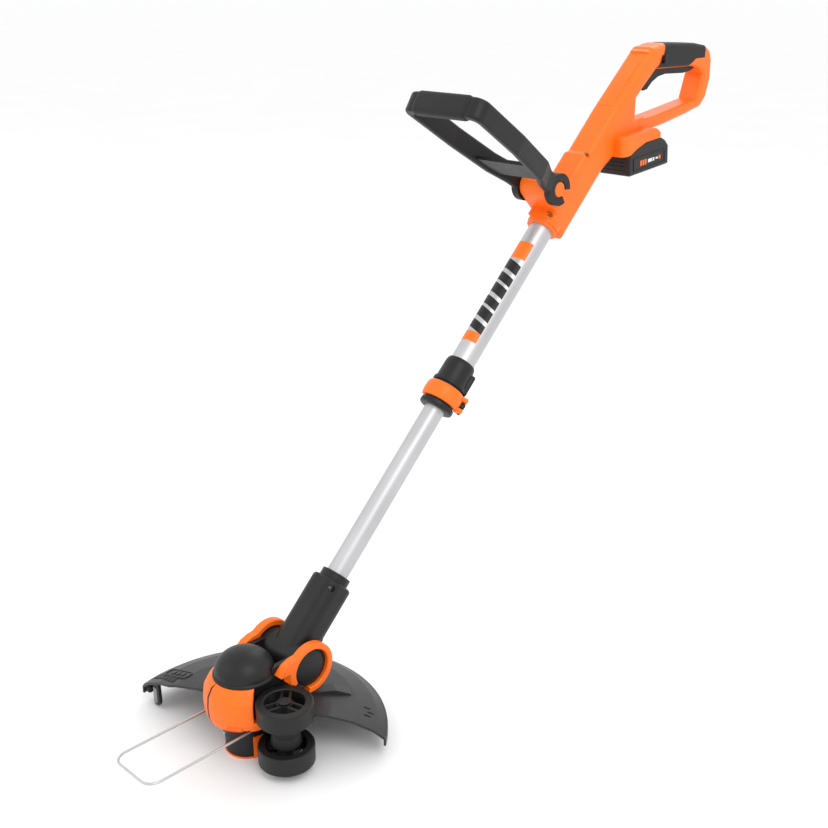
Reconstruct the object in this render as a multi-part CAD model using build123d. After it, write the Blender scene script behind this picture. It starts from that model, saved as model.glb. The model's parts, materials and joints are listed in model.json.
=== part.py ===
from build123d import *
import os
from math import cos, radians, sin

os.makedirs("parts", exist_ok=True)

# A battery string trimmer. Millimetres, +Z up, origin on the ground under the spool.
# +Y runs back towards the user, +X to the user's left, where the pair of wheels sits.

# ---- driving dimensions -------------------------------------------------------------
SHAFT_ANGLE = 44.54           # slope of the shaft above the ground
PIVOT = (0, 61.5, 86.8)       # the joint between the shaft and the cutting head
UPPER_TUBE_R = 15.0
UPPER_TUBE_BORE = 13.6
LOWER_TUBE_R = 12.5
LOWER_TUBE_BORE = 11.3
UPPER_TUBE_SPAN = (340.0, 690.0)    # stations along the shaft, measured from the pivot
LOWER_TUBE_SPAN = (18.0, 470.0)

NECK_HALF = 21.0
NECK_TOP = 94.0
COLLAR_R = 17.3
COLLAR_TOP = 103.0

CLAMP_SPAN = (323.0, 395.0)
CLAMP_R = 18.5
LEVER_SPAN = (337.0, 357.0)
LEVER_INNER_R = 19.0
LEVER_OUTER_R = 23.0
LEVER_PIN_R = 1.6
LEVER_PIN_REACH = 26.5        # from the shaft axis to the lever's pin
LEVER_SIDE = 42.2             # direction of the pin, from +X towards the underside

HOUSING_START = 593.5
HOUSING_HALF = 19.0
LOOP_HALF = 16.0              # half width of the D-shaped rear grip
SHELL_WALL = 3.0

BAIL_STATION = 621.5
BAIL_RISE = 40.5
BAIL_LEAN = 13.3              # the loop leans this far down the shaft from square
BAIL_REACH = 208.5
BAIL_HALF = 56.5
BAIL_DEPTH = 24.0
BAIL_HUB_R = 19.3
KNOB_R = 9.5

BATTERY_TILT = 5.35
BATTERY_BASE = (0, 650.6, 555.5)
BATTERY_HALF_WIDTH = 37.0
BATTERY_HALF_LENGTH = 43.0
BATTERY_HEIGHT = 36.0
RAIL_TOP = 44.0
RAIL_SPAN = (-33.5, 38.0)
CELL_R = 9.0
CELL_LENGTH = 65.0

BARREL_R = 45.5
BARREL_BOTTOM = 43.0
BARREL_TOP = 93.0
DOME_R = 32.5
DOME_HEIGHT = 28.5
MOTOR_R = 18.0
FRAME_FOOT = 56.0
SCREW_R = 1.5

RING_INNER_R = 22.3
RING_OUTER_R = 29.5
RING_SPAN = (30.0, 40.0)
FORK_SPAN = (23.6, 29.6)
AXLE_R = 4.0

SPOOL_HOUSING_R = 25.0
SPOOL_TOP = 41.5
CAP_R = 25.8
CAP_HEIGHT = 2.6

GUARD_R = 153.0
GUARD_THICK = 3.0
GUARD_FROM = 20.0             # plan angles of the guard, from +X towards +Y
GUARD_TO = 200.0

WHEEL_PLACE = (60.0, 5.0)
WHEEL_R = 30.5
WHEEL_BORE_R = 21.4
UPPER_WHEEL = (62.0, 83.4)
LOWER_WHEEL = (9.7, 31.1)
HUB_R = 9.0
ARM_FOOT = 43.6               # underside of the arm that carries the wheels

WIRE_R = 1.4
WIRE_HALF = 32.5
WIRE_REACH = 146.5
WIRE_HEIGHT = 44.0
WIRE_HINGE_Y = -18.0

FIT = 0.05                    # radial clearance of a shaft in its hole
GAP = 0.4                     # clearance between parts that move past each other

# ---- frames -------------------------------------------------------------------------
# Shaft frame: x along the shaft from the pivot, y square to it on the upper side,
# z to the user's left.
ALONG = (0, cos(radians(SHAFT_ANGLE)), sin(radians(SHAFT_ANGLE)))
SHAFT = Plane(origin=PIVOT, x_dir=ALONG, z_dir=(1, 0, 0)).location
# Battery frame: x towards the rear, y up, z to the user's left, origin on its underside.
TILT = (0, cos(radians(BATTERY_TILT)), sin(radians(BATTERY_TILT)))
BATTERY = Plane(origin=BATTERY_BASE, x_dir=TILT, z_dir=(1, 0, 0)).location


def save(name, shape):
    export_step(shape, f"parts/{name}.step")


def rod(radius, start, end, rise=0.0, side=0.0):
    """A round bar along the local x axis."""
    length = end - start
    return Pos(start + length / 2, rise, side) * Rot(0, 90, 0) * Cylinder(radius, length)


def post(radius, bottom, top, x=0.0, y=0.0):
    """A round bar along the local z axis."""
    return Pos(x, y, (bottom + top) / 2) * Cylinder(radius, top - bottom)


def block(x_span, y_span, z_span):
    """A box given by its limits on each axis."""
    spans = (x_span, y_span, z_span)
    size = [high - low for low, high in spans]
    middle = [(high + low) / 2 for low, high in spans]
    return Pos(*middle) * Box(*size)


def outline(points, radius=0.0):
    """A closed flat face through the points, its corners rounded."""
    face = make_face(Polyline(*points, close=True))
    if radius:
        face = fillet(face.vertices(), radius)
    return face


def slab(face, low, high):
    """The face, drawn flat on the local xy plane, as a plate between two heights."""
    return Pos(0, 0, low) * extrude(face, amount=high - low)


def spun(points, start=0.0, angle=360.0):
    """A profile of (radius, height) points turned about the vertical axis."""
    face = Plane.XZ * make_face(Polyline(*points, close=True))
    return Rot(0, 0, start) * revolve(face, Axis.Z, angle)


def half(side):
    """Everything on one side of the middle plane x = 0 of the world."""
    low, high = (0, 400) if side > 0 else (-400, 0)
    return block((low, high), (-400, 1200), (-50, 900))


def side_plane(shape):
    """Stand a shape drawn in (y, z) upright in the middle plane."""
    return Plane.YZ.location * shape


def spring(wire_r, coil_r, pitch, length):
    """A helical spring along the local z axis, starting at its origin."""
    path = Helix(pitch, length, coil_r)
    section = Plane(origin=path @ 0, z_dir=path % 0) * Circle(wire_r)
    return sweep(section, path=path)


# ---- shaft --------------------------------------------------------------------------
def upper_tube():
    start, end = UPPER_TUBE_SPAN
    return SHAFT * (rod(UPPER_TUBE_R, start, end) - rod(UPPER_TUBE_BORE, start - 1, end + 1))


def lower_tube():
    start, end = LOWER_TUBE_SPAN
    return SHAFT * (rod(LOWER_TUBE_R, start, end) - rod(LOWER_TUBE_BORE, start - 1, end + 1))


def slide_bush():
    """Plastic plug that slides in the upper tube and carries the lower tube's end."""
    end = LOWER_TUBE_SPAN[1]
    plug = rod(UPPER_TUBE_BORE - FIT, end + 0.2, end + 26)
    spigot = rod(LOWER_TUBE_BORE - FIT, end - 20, end + 0.2)
    lead_hole = rod(6.0, end - 21, end + 27)
    return SHAFT * (plug + spigot - lead_hole)


def clamp_sleeve():
    """Moulded sleeve on the upper tube's end, with the ears for the lever's pin."""
    start, end = CLAMP_SPAN
    seat = UPPER_TUBE_SPAN[0]
    shape = rod(21.0, start, start + 9) + rod(CLAMP_R, start, end - 14)
    shape = shape + Pos(end - 14, 0, 0) * Rot(0, 90, 0) * Pos(0, 0, 7) * Cone(CLAMP_R, 16.3, 14)
    ears = block((start + 9, LEVER_SPAN[1] + 16), (-5, 5), (10, LEVER_PIN_REACH + 5))
    ears = ears - block((LEVER_SPAN[0] - GAP, LEVER_SPAN[1] + GAP), (-6, 6), (CLAMP_R - 1, 40))
    shape = shape + Rot(LEVER_SIDE, 0, 0) * ears
    shape = shape - rod(UPPER_TUBE_R, seat, end + 1) - rod(LOWER_TUBE_R + FIT, start - 1, seat)
    pin_hole = rod(LEVER_PIN_R, start + 8, LEVER_SPAN[1] + 12, 0, LEVER_PIN_REACH)
    return SHAFT * (shape - Rot(LEVER_SIDE, 0, 0) * pin_hole)


def clamp_pin():
    pin = rod(LEVER_PIN_R, CLAMP_SPAN[0] + 9.2, LEVER_SPAN[1] + 12, 0, LEVER_PIN_REACH)
    return SHAFT * Rot(LEVER_SIDE, 0, 0) * pin


def clamp_lever():
    """Orange cam lever, hooked round the sleeve over the half that faces up."""
    start, end = LEVER_SPAN
    band = rod(LEVER_OUTER_R, start, end) - rod(LEVER_INNER_R, start - 1, end + 1)
    band = band & block((start, end), (-1.5, 40), (-40, 40))
    band = band + rod(4.6, start, end, 0, LEVER_PIN_REACH)
    band = band + block((start, end), (0, 4.6), (LEVER_INNER_R + 0.6, LEVER_PIN_REACH))
    band = band + block((start + 3, end - 3), (-13, -1), (-LEVER_OUTER_R, -LEVER_INNER_R - 0.8))
    window = block((start + 7, end - 7), (1, 30), (LEVER_INNER_R - 2, LEVER_OUTER_R - 1))
    band = band - window & block((start, end), (-40, 40), (-40, 40))
    pin_hole = rod(LEVER_PIN_R + FIT, start - 1, end + 1, 0, LEVER_PIN_REACH)
    return SHAFT * Rot(LEVER_SIDE, 0, 0) * (band - pin_hole)


# ---- neck ---------------------------------------------------------------------------
def neck_block():
    """Both halves of the neck in one, before they are parted down the middle."""
    section = fillet(Rectangle(2 * NECK_HALF, 2 * NECK_HALF).vertices(), 15)
    body = Pos(4, 0, 0) * Rot(0, 90, 0) * extrude(section, amount=NECK_TOP - 4)
    body = fillet(body.edges().group_by(Axis.X)[-1], 4)
    knuckle = post(21.5, -23.2, 23.2)
    collar = rod(COLLAR_R, NECK_TOP - 2, COLLAR_TOP)
    shape = body + knuckle + collar
    tube_seat = rod(LOWER_TUBE_R, LOWER_TUBE_SPAN[0], COLLAR_TOP + 1)
    return shape - tube_seat - post(AXLE_R + FIT, -30, 30) - rod(7.0, 8, 19)


def neck_screw_places():
    return [(84.5, 15.3), (31.0, -14.5)]


def neck_shell(side):
    shape = neck_block()
    for station, rise in neck_screw_places():
        shape = shape - post(3.4, 15, 30, station, rise) - post(1.5, -12, 20, station, rise)
    low, high = (0, 60) if side > 0 else (-60, 0)
    return SHAFT * (shape & block((-40, 120), (-60, 60), (low, high)))


def neck_screws():
    """Two screws driven from the left half into the right one."""
    screws = []
    for station, rise in neck_screw_places():
        slot = block((station - 2, station + 2), (rise - 0.4, rise + 0.4), (16.2, 18))
        head = post(2.9, 15, 17.2, station, rise) - slot
        screws.append(SHAFT * (head + post(1.5, -10, 15.2, station, rise)))
    return Compound(children=screws)


def pivot_axle():
    return SHAFT * post(AXLE_R, -36, 36)


# ---- cutting head -------------------------------------------------------------------
PIVOT_AT = Pos(*PIVOT)
LATERAL = Rot(0, 90, 0)


def disc(radius, low, high):
    """A disc on the pivot axis, between two distances from the middle plane."""
    return PIVOT_AT * LATERAL * post(radius, low, high)


def wheel_recess():
    return post(WHEEL_R + 2.5, UPPER_WHEEL[0] - 4, BARREL_TOP + 1, *WHEEL_PLACE)


def head_frame():
    """Black carrier of the motor, with the two fork plates that hold the neck."""
    core = [(0, FRAME_FOOT), (37.5, FRAME_FOOT), (38, 70), (35, 88), (33, BARREL_TOP), (0, BARREL_TOP)]
    shape = spun(core)
    back = [(0, FRAME_FOOT), (41, FRAME_FOOT), (42.5, 70), (40, 84), (34, BARREL_TOP), (0, BARREL_TOP)]
    shape = shape + spun(back, 28, 150)
    for low, high in (FORK_SPAN, (-FORK_SPAN[1], -FORK_SPAN[0])):
        shape = shape + block((low, high), (10, PIVOT[1]), (66, 104))
        shape = shape + disc(21.5, low, high)
    neck_space = disc(24.0, -FORK_SPAN[0], FORK_SPAN[0])
    shape = shape - neck_space - wheel_recess() - disc(AXLE_R, -40, 40)
    shape = shape - post(MOTOR_R, 52, 97) - post(DOME_R + 0.1, BARREL_TOP, 130)
    for x, y in guard_screw_places() + bracket_screw_places():
        shape = shape - post(SCREW_R, FRAME_FOOT - 1, FRAME_FOOT + 6, x, y)
    return shape


def motor_can():
    shape = post(MOTOR_R - FIT, 52, 90) + post(6, 90, 93)
    return shape - post(2.0 + FIT, 51, 94)


def motor_shaft():
    return post(2.0, 20, 95)


def dome_cover():
    """Domed black cap over the motor, with a thin skirt at its foot."""
    outer = Sphere(DOME_R) & block((-50, 50), (-50, 50), (0, 50))
    inner = Sphere(DOME_R - 2.5) & block((-50, 50), (-50, 50), (-1, 50))
    flat = DOME_HEIGHT / DOME_R
    dome = scale(outer - inner, by=(1, 1, flat))
    skirt = post(DOME_R, 93.2, 96.2) - post(DOME_R - 2.5, 93, 97)
    shape = Pos(0, 0, 96.2) * scale(dome, by=(1, 1, (DOME_HEIGHT - 2.8) / DOME_HEIGHT)) + skirt
    neck_space = PIVOT_AT * LATERAL * post(25.5, -24.2, 24.2)
    return shape - neck_space


def barrel_profile():
    """Bulged wall of the orange barrel, from its foot up to the dome."""
    return [(36.5, BARREL_BOTTOM), (41.5, BARREL_BOTTOM + 3), (44.6, 55), (BARREL_R, 67), (44.2, 80),
            (39.5, 89), (34.5, BARREL_TOP), (33.2, BARREL_TOP), (35.5, 88.5), (38.6, 70), (38.2, 55.8),
            (35.5, 55.8), (34.5, BARREL_BOTTOM)]


def wire_space(side):
    """Notch in the barrel's foot for one end of the wire guard and its clip."""
    low, high = sorted((side * 25.4, side * (WIRE_HALF + 3)))
    notch = block((low, high), (WIRE_HINGE_Y - 14, WIRE_HINGE_Y + 4.6), (30, WIRE_HEIGHT + 4.4))
    low, high = sorted((side * 25.4, side * 30.5))
    return notch + block((low, high), (WIRE_HINGE_Y - 4.6, WIRE_HINGE_Y + 4.6), (30, FRAME_FOOT + 0.4))


def barrel_front_cover():
    shape = spun(barrel_profile(), 263, 88) - wheel_recess()
    pocket = Rot(0, 0, 305) * block((40.5, 50), (-9, 9), (46, 51))
    return shape - pocket - wire_space(1) - wire_space(-1)


def barrel_side_panel():
    """Second orange panel, parted from the front cover by a groove."""
    return spun(barrel_profile(), 183, 78) - wire_space(-1)


def pivot_ring(side):
    """Orange ring round the pivot's hub, open low at the front, with pointed feet."""
    low, high = sorted((side * RING_SPAN[0], side * RING_SPAN[1]))
    ring = Circle(RING_OUTER_R) - Circle(RING_INNER_R)
    mouth = outline([(0, 0), (-44, -18), (-40, -44), (-10, -44)])
    shape = slab(ring - mouth, low, high)
    shape = chamfer(shape.edges().filter_by(GeomType.CIRCLE), 1.2)
    foot = outline([(-16, 22), (-26, 21), (-35, 18), (-40, 14), (-45, 9), (-28, -9), (-20, -6)])
    shape = shape + slab(foot - Circle(RING_INNER_R + 1.2), low, high)
    shape = PIVOT_AT * Plane.YZ.location * shape
    return shape - wheel_recess() - post(42.8, 40, BARREL_TOP) - post(DOME_R + 1, BARREL_TOP - 1, 125)


def hub_cover(side):
    """Black domed cover over the end of the pivot axle."""
    shape = post(22.0, RING_SPAN[0] - 0.4, RING_SPAN[0] + 5)
    ball = Sphere(20.5) & block((-30, 30), (-30, 30), (0, 30))
    shape = shape + Pos(0, 0, RING_SPAN[0] + 5) * scale(ball, by=(1, 1, 0.16))
    shape = shape - post(AXLE_R, 20, 36)
    if side < 0:
        shape = mirror(shape, about=Plane.XY)
    return PIVOT_AT * LATERAL * shape


# ---- spool --------------------------------------------------------------------------
def spool_housing():
    """Black cup that turns on the motor shaft and carries the spool of line."""
    shape = post(SPOOL_HOUSING_R, CAP_HEIGHT, SPOOL_TOP)
    shape = shape - post(SPOOL_HOUSING_R - 2.2, CAP_HEIGHT - 1, SPOOL_TOP - 3)
    shape = fillet(shape.edges().group_by(Axis.Z)[-1], 2.5) + post(5.5, 20, SPOOL_TOP)
    for turn in (79, 259):
        tab_slot = Rot(0, 0, turn) * block((-6.3, 6.3), (18, 30), (CAP_HEIGHT - 1, 27.3))
        eyelet_hole = Rot(0, 0, turn - 30) * Pos(24, 0, 18) * LATERAL * Cylinder(2.4, 8)
        shape = shape - tab_slot - eyelet_hole
    return shape - post(2.0, 15, SPOOL_TOP + 1)


def eyelets():
    """Two metal bushes in the housing's wall that the line comes out of."""
    bushes = []
    for turn in (49, 229):
        bush = Cylinder(2.4, 3.4) + Pos(0, 0, 2.2) * Cylinder(3.3, 1.0)
        bushes.append(Rot(0, 0, turn) * Pos(23.9, 0, 18) * LATERAL * (bush - Cylinder(1.1, 9)))
    return Compound(children=bushes)


def spool():
    """Spool with two flanges and a hollow core."""
    shape = post(8.5, 9, 28) + post(20.5, 9, 10.6) + post(20.5, 26.4, 28) + post(20.5, 17.8, 19)
    return shape - post(5.6, 8, 29)


def line_winding():
    layers = []
    for low, high in ((10.6, 17.8), (19.0, 26.4)):
        layers.append(post(17.5, low, high) - post(8.5, low - 1, high + 1))
    return Compound(children=layers)


def spool_spring():
    return Pos(0, 0, 28.9) * spring(0.7, 11, 3.2, 8.6)


def spool_cap():
    """Orange cap under the spool; two tabs snap up into the housing's wall."""
    shape = post(CAP_R, 0, CAP_HEIGHT - 0.1) - post(22.4, 2.2, CAP_HEIGHT)
    shape = chamfer(shape.edges().group_by(Axis.Z)[0], 1.2)
    for turn in (79, 259):
        tab = block((-5.9, 5.9), (18, 30), (1.5, 26.8))
        wall = post(SPOOL_HOUSING_R + 0.8, 1.3, 27) - post(SPOOL_HOUSING_R - 2.2, 1, 28)
        shape = shape + Rot(0, 0, turn) * (tab & wall)
    return shape + post(4.5, 2, 8.8)


# ---- guard --------------------------------------------------------------------------
def guard_profile():
    """Dished section of the guard, from the head out to its rolled-down lip."""
    top = [(34, FRAME_FOOT), (44, FRAME_FOOT), (64, 55.0), (92, 51.0), (120, 43.5), (141, 33.5),
           (151.5, 25.5), (GUARD_R, 23)]
    lip = [(GUARD_R, 15.0), (GUARD_R - 2.5, 15.0)]
    under = [(r - (1.0 if r > 100 else 0), z - GUARD_THICK) for r, z in reversed(top[:-1])]
    return top + lip + under


def guard():
    """Grass guard behind the line, trimmed along its two front edges."""
    shape = spun(guard_profile(), GUARD_FROM, GUARD_TO - GUARD_FROM)
    far_front = outline([(0, -80), (-30, -30), (-52, -28), (-64, -32), (-84, -41), (-97, -35),
                         (-160, -38), (-160, -90)])
    near_front = outline([(20, -20), (20, 15), (36, 15), (47, 25), (62, 35), (88, 60), (112, 81),
                          (126, 92), (170, 112), (170, -20)])
    shape = shape - slab(far_front, 0, 80) - slab(near_front, 0, 80)
    shape = shape - block((-BARREL_R - 1, 0), (-60, 0.8), (30, 80)) - block((-30, 30), (-10, 21), (30, 80))
    ridge = slab(outline([(50, 59), (98, 54.5), (114, 47), (118, 42), (50, 50)]), -7, 7)
    ridge = chamfer(ridge.edges().group_by(Axis.Y)[-1], 2)
    shape = shape + Rot(0, 0, 62) * Plane.XZ.location * ridge
    for shift in (-7, 0, 7):
        slot = Rot(0, 0, 47) * Pos(134 - abs(shift) * 0.5, shift, 35) * Box(7, 2.6, 30)
        shape = shape - slot
    for x, y in guard_screw_places():
        shape = shape - post(SCREW_R, 40, 70, x, y)
    return shape


def guard_screw_places():
    return [(27, 29), (9, 38), (-15, 36), (-36.5, 12)]


def guard_screws():
    """Four screws that hold the guard under the head frame."""
    screws = []
    for x, y in guard_screw_places():
        under = FRAME_FOOT - GUARD_THICK
        screws.append(post(SCREW_R, under - 1, FRAME_FOOT + 6, x, y) + post(3.0, under - 1.8, under, x, y))
    return Compound(children=screws)


BLADE_PLACE = Pos(-132, -28.5, 0) * Rot(0, 0, -4)


def blade_holder(guard_shape):
    """Small black foot under the guard's far tip."""
    foot = block((-13, 13), (-3.6, 3.6), (14.5, 34))
    step = block((-14, 14), (-4, 0.2), (13, 26))
    return (BLADE_PLACE * (foot - step) - guard_shape).solids().sort_by(SortBy.VOLUME)[-1]


def cutter_blade():
    """Steel blade that trims the line to length."""
    blade = block((-9, 9), (-1.0, 0.2), (9.5, 24))
    edge = Pos(0, -1.0, 9.5) * Rot(35, 0, 0) * Box(26, 2.4, 2.4)
    return BLADE_PLACE * (blade - edge)


def blade_screws():
    screws = []
    for shift in (-6, 6):
        screw = Pos(shift, -1.9, 20) * Rot(90, 0, 0) * Cylinder(2.4, 1.8)
        screws.append(BLADE_PLACE * screw)
    return Compound(children=screws)


# ---- wheels -------------------------------------------------------------------------
def wheel_bracket():
    """Arm from the head to the thick spindle between the two wheels."""
    x, y = WHEEL_PLACE
    standing = (Align.CENTER, Align.CENTER, Align.MIN)
    spindle = Pos(x, y, 33) * Cone(16.6, 15.4, 12, align=standing)
    spindle = spindle + Pos(x, y, 45) * Cone(15.4, 16.8, 15.5, align=standing)
    arm = block((24, x), (y - 8, y + 8), (ARM_FOOT, FRAME_FOOT))
    shape = spindle + arm - post(AXLE_R, 30, 70, x, y)
    for screw_x, screw_y in bracket_screw_places():
        shape = shape - post(SCREW_R, ARM_FOOT - 1, FRAME_FOOT + 1, screw_x, screw_y)
    return shape


def bracket_screw_places():
    return [(29.0, WHEEL_PLACE[1] - 4.5), (29.0, WHEEL_PLACE[1] + 4.5)]


def bracket_screws():
    screws = []
    for x, y in bracket_screw_places():
        head = post(2.8, ARM_FOOT - 1.4, ARM_FOOT, x, y)
        screws.append(head + post(SCREW_R, ARM_FOOT - 1, FRAME_FOOT + 6, x, y))
    return Compound(children=screws)


def wheel_axle():
    x, y = WHEEL_PLACE
    return post(AXLE_R, LOWER_WHEEL[0] + 0.8, UPPER_WHEEL[1] - 0.8, x, y)


def axle_caps():
    """Two press-on washers that keep the wheels on their axle."""
    x, y = WHEEL_PLACE
    low, high = LOWER_WHEEL[0], UPPER_WHEEL[1]
    caps = [post(7, high - 1.6, high, x, y) - post(AXLE_R, high - 3, high - 0.8, x, y),
            post(7, low, low + 1.6, x, y) - post(AXLE_R, low + 0.8, low + 3, x, y)]
    return Compound(children=caps)


def wheel():
    """One wheel with its open side down: smooth tyre, hub and three double spokes."""
    width = UPPER_WHEEL[1] - UPPER_WHEEL[0]
    rim = post(WHEEL_R, 0, width) - post(WHEEL_BORE_R, -1, width + 1)
    rim = fillet(rim.edges().filter_by(GeomType.CIRCLE), 1.8)
    hub = post(HUB_R, 0, width - 2.0)
    shape = rim + hub
    for turn in (14.5, 134.5, 254.5):
        for shift in (-4.6, 4.6):
            spoke = block((6, 25), (shift - 1.4, shift + 1.4), (width - 8, width - 2.0))
            shape = shape + Rot(0, 0, turn) * spoke
    return shape - post(AXLE_R + FIT, -1, width + 1)


def wheel_upper():
    x, y = WHEEL_PLACE
    return Pos(x, y, UPPER_WHEEL[0]) * wheel()


def wheel_lower():
    x, y = WHEEL_PLACE
    return Pos(x, y, LOWER_WHEEL[1]) * Rot(180, 0, 0) * wheel()


# ---- wire guard ---------------------------------------------------------------------
def wire_guard():
    """Bent spring wire ahead of the line; it folds down about its two hooked ends."""
    z = WIRE_HEIGHT
    inner = WIRE_HALF - 6
    path = FilletPolyline(
        (inner, WIRE_HINGE_Y, z),
        (WIRE_HALF, WIRE_HINGE_Y, z),
        (WIRE_HALF, -WIRE_REACH, z),
        (-WIRE_HALF, -WIRE_REACH, z),
        (-WIRE_HALF, WIRE_HINGE_Y, z),
        (-inner, WIRE_HINGE_Y, z),
        radius=[2.2, 14, 14, 2.2],
    )
    section = Plane(origin=path @ 0, z_dir=path % 0) * Circle(WIRE_R)
    return sweep(section, path=path)


def wire_clips():
    """Two small blocks under the barrel that the wire's ends hook into."""
    clips = []
    for side in (1, -1):
        x = sorted((side * 25.8, side * 30.1))
        clip = block(x, (WIRE_HINGE_Y - 4, WIRE_HINGE_Y + 4), (WIRE_HEIGHT - 4, 56))
        hole = Pos(side * 28, WIRE_HINGE_Y, WIRE_HEIGHT) * LATERAL * Cylinder(WIRE_R + FIT, 20)
        clips.append(clip - hole)
    return Compound(children=clips)


# ---- rear handle --------------------------------------------------------------------
def shaft_point(station, rise):
    """A place in the middle plane as (y, z), from its station and rise on the shaft."""
    a = radians(SHAFT_ANGLE)
    return (PIVOT[1] + station * cos(a) - rise * sin(a), PIVOT[2] + station * sin(a) + rise * cos(a))


def body_outline():
    """Side view of the housing round the tube, up to the front of the finger opening."""
    front = [shaft_point(HOUSING_START, 20), shaft_point(690, 20), shaft_point(697, 15.5),
             shaft_point(764, 15.5), shaft_point(848, 11.5)]
    crown = [(673, 703.5), (700, 707.6), (697, 692), (683, 676), (658, 656), (643, 643), (643, 621),
             (652, 605)]
    foot = [(640, 594), (628, 592), shaft_point(700, -24.5), shaft_point(HOUSING_START, -24.5)]
    return outline(front + crown + foot)


def loop_outline():
    """Side view of the C-shaped grip behind the housing, its ends reaching into it."""
    outside = [(664, 699), (690, 706.8), (718, 707.4), (741, 706.4), (774, 704.7), (799, 701), (811, 694),
               (816.5, 682), (817, 657), (809, 633), (797, 621.5), (761, 613.8), (701, 603.4), (640, 594)]
    inside = [(632, 612), (655, 615), (695, 619), (786.6, 632), (797.5, 663.5), (787, 672.5),
              (772, 675.5), (672, 676.5)]
    return outline(outside + inside)


def handle_solid():
    """Outer shape of the rear handle, before it is hollowed and parted."""
    body = side_plane(slab(body_outline(), -HOUSING_HALF, HOUSING_HALF))
    body = fillet(body.faces().filter_by(Axis.X).edges(), 9)
    loop = side_plane(slab(loop_outline(), -LOOP_HALF, LOOP_HALF))
    loop = fillet(loop.faces().filter_by(Axis.X).edges(), 5.8)
    return body + loop


def battery_foot():
    """Flared foot of the handle that the battery slides under."""
    side = outline([(-52, 25.6), (-38.5, 26.4), (-26, 31.4), (-6, 36.4), (26, 36.4), (26, 43), (18, 50),
                    (-52, 50)])
    foot = slab(side, -36, 36)
    foot = fillet(foot.edges().filter_by(Axis.Y).group_by(Axis.X)[0], 9)
    foot = fillet(foot.edges().group_by(Axis.Y)[-1], 4)
    waist = block((-52, 17), (46, 62), (-16, 16))
    return BATTERY * (foot + waist)


def bail_boss():
    """Raised boss on the housing's upper side that carries the loop handle."""
    boss = post(15.5, -19.6, 19.6, BAIL_STATION, BAIL_RISE)
    base = slab(outline([(606, 10), (606, 40), (637, 40), (652, 12)]), -19.6, 19.6)
    return SHAFT * (boss + base)


def housing_rim():
    lip = rod(19.3, HOUSING_START - 6, HOUSING_START + 8)
    return SHAFT * (lip + rod(20.4, HOUSING_START - 2, HOUSING_START + 6))


def screw_places():
    """Housing screws as (y, z) in the middle plane."""
    return [shaft_point(600, 17.2), shaft_point(693, 15.2)]


def trigger_profile():
    finger_side = [(786, 673), (774, 668.8), (757, 667.3), (716, 668.6), (700, 666.2), (687, 660.4),
                   (676.5, 652), (669, 650.8)]
    grip_side = [(667.5, 654), (675, 664), (689, 674), (704, 677.5), (711, 682), (740, 684), (793, 688),
                 (793, 678)]
    return outline(finger_side + grip_side)


TRIGGER_PIN = (787.0, 682.5)
TRIGGER_HALF = 8.0
TRIGGER_TRAVEL = 4.0


def trigger_space():
    """Slot in the handle that the trigger sits and swings in."""
    still = offset(trigger_profile(), 1.0, kind=Kind.INTERSECTION)
    pivot = Pos(*TRIGGER_PIN, 0)
    space = still
    for share in (0.5, 1.0):
        turned = pivot * Rot(0, 0, -TRIGGER_TRAVEL * share) * pivot.inverse() * still
        space = space + turned
    return side_plane(slab(space, -TRIGGER_HALF - 0.6, TRIGGER_HALF + 0.6))


LOCK_PLACE = (698.0, 688.5)
LOCK_R = 5.0


def lock_bar_space(radius):
    return side_plane(post(radius, -30, 30, *LOCK_PLACE))


def handle_cavity():
    """Room inside the shells: along the shaft and round the loop."""
    body = offset(body_outline(), -SHELL_WALL - 2.6, kind=Kind.INTERSECTION)
    loop = offset(loop_outline(), -SHELL_WALL - 1.2, kind=Kind.INTERSECTION)
    inside = slab(body, -HOUSING_HALF + 4.6, HOUSING_HALF - 4.6)
    return side_plane(inside + slab(loop, -LOOP_HALF + 4.6, LOOP_HALF - 4.6))


def grip_zone():
    """Where the soft cover lies on the top bar of the loop."""
    zone = outline([(700.5, 720), (700.5, 707), (697.5, 692), (684, 677.5), (690, 677.8), (761, 676.5),
                    (775, 685), (797, 685.5), (798, 720)])
    return side_plane(slab(zone, -40, 40))


def grip_core():
    face = offset(loop_outline(), -2.3, kind=Kind.INTERSECTION)
    core = side_plane(slab(face, -LOOP_HALF + 2.3, LOOP_HALF - 2.3))
    return fillet(core.faces().filter_by(Axis.X).edges(), 3.4)


def soft_grip(outer):
    body = side_plane(slab(body_outline(), -40, 40))
    return (outer & grip_zone()) - grip_core() - body - lock_bar_space(LOCK_R + 0.6) - trigger_space()


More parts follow.
